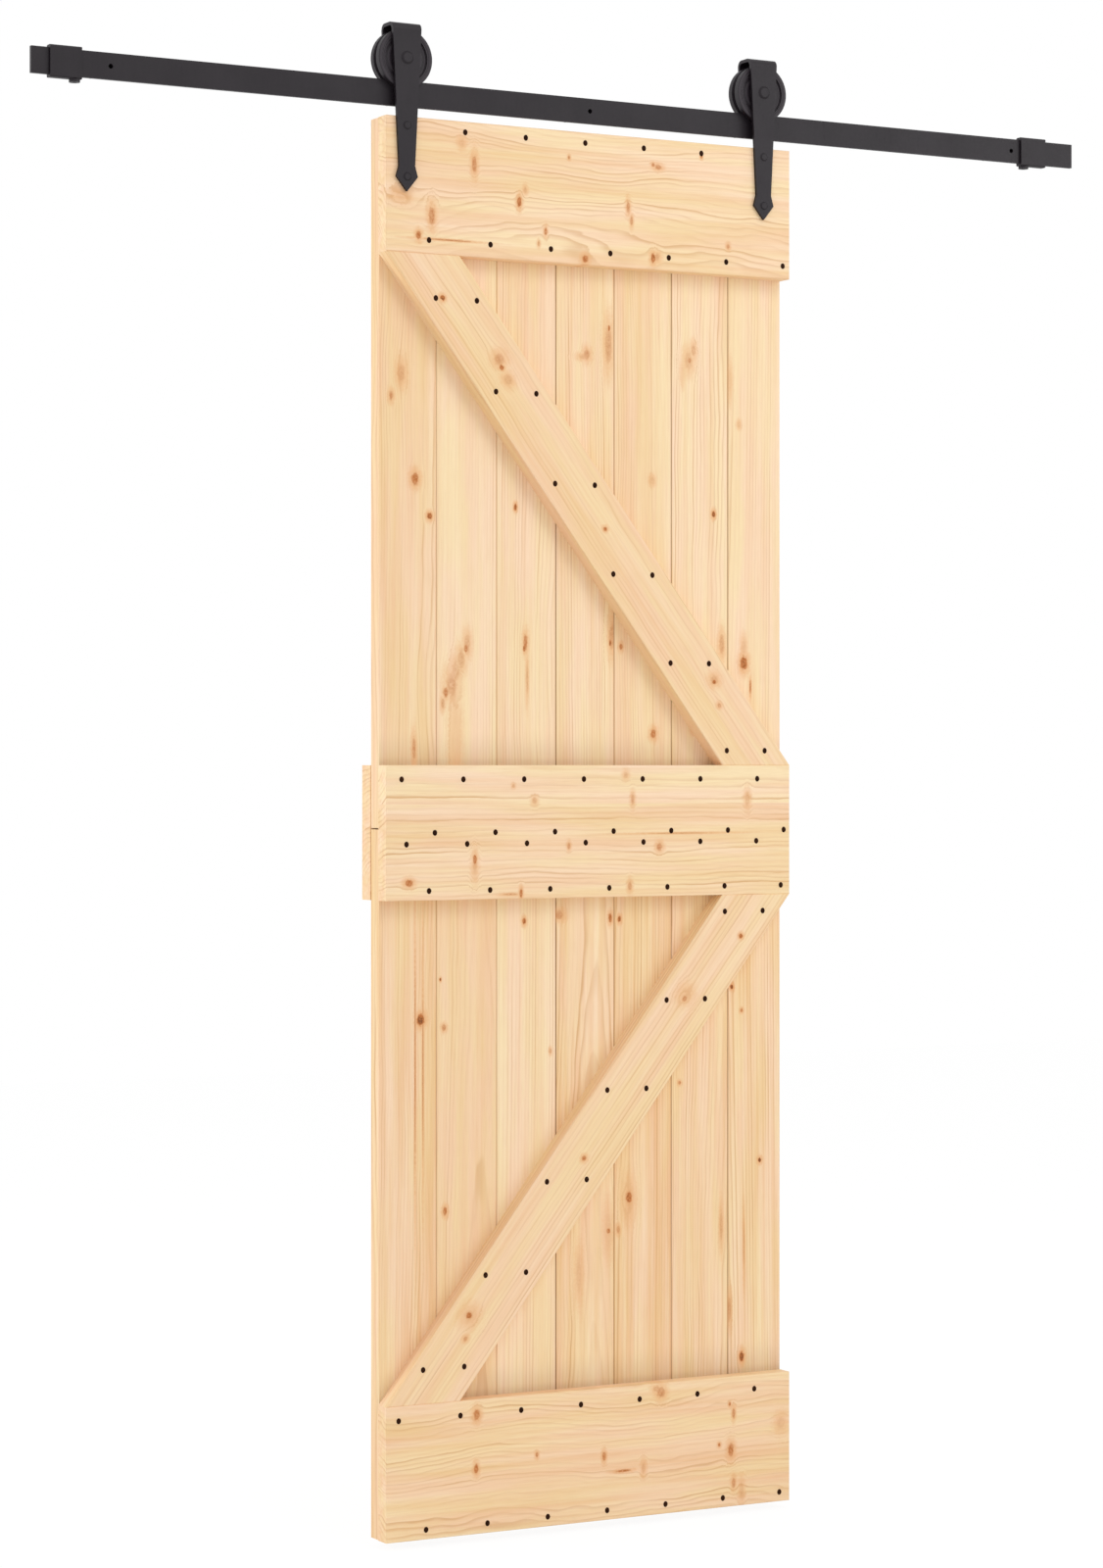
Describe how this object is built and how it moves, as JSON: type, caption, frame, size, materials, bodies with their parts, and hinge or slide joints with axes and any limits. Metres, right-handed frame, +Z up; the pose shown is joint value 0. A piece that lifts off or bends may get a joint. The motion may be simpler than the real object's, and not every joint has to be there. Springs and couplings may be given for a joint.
{
  "type": "sliding barn door on a wall track",
  "caption": "Boarded pine sliding door with slanting braces, hung on two arrow strap hangers whose grooved wheels roll along a flat steel wall track with end stops.",
  "frame": {"origin": "centre of the wall end of the middle spacer, on the middle line of the track", "axes": "+X along the track to the right as seen from the front, +Y into the wall, +Z up; the front of the door faces -Y"},
  "size_m": [1.8, 0.098, 2.2382],
  "materials": {
    "pine": "planed, satin",
    "black_steel": "fine matt powder coat"
  },
  "bodies": {
    "track": {"track_rail": "black_steel", "rail_spacers": "black_steel", "end_stop_left": "black_steel", "end_stop_right": "black_steel"},
    "door": {"board_lower_1": "pine", "board_lower_2": "pine", "board_lower_3": "pine", "board_lower_4": "pine", "board_lower_5": "pine", "board_lower_6": "pine", "board_lower_7": "pine", "board_upper_1": "pine", "board_upper_2": "pine", "board_upper_3": "pine", "board_upper_4": "pine", "board_upper_5": "pine", "board_upper_6": "pine", "board_upper_7": "pine", "top_rail": "pine", "middle_rail_front": "pine", "middle_rail_back": "pine", "bottom_rail": "pine", "upper_brace": "pine", "lower_brace": "pine", "hanger_left": "black_steel", "hanger_right": "black_steel", "axles": "black_steel", "axle_nuts": "black_steel", "strap_screws": "black_steel"},
    "left_wheel": {"wheel_left": "black_steel"},
    "right_wheel": {"wheel_right": "black_steel"}
  },
  "joints": [
    {"name": "door_slide", "type": "slide", "parent": "track", "child": "door", "axis": [1, 0, 0], "range_m": [-0.469, 0.459]},
    {"name": "left_wheel_turn", "type": "hinge", "parent": "door", "child": "left_wheel", "pos_m": [-0.318, -0.0755, 0.0507], "axis": [0, 1, 0], "range_deg": [-860, 860]},
    {"name": "right_wheel_turn", "type": "hinge", "parent": "door", "child": "right_wheel", "pos_m": [0.3, -0.0755, 0.0507], "axis": [0, 1, 0], "range_deg": [-860, 860]}
  ],
  "couplings": [
    {"joint": "left_wheel_turn", "follows": "door_slide", "rad_per_m": 31.746},
    {"joint": "right_wheel_turn", "follows": "door_slide", "rad_per_m": 31.746}
  ]
}
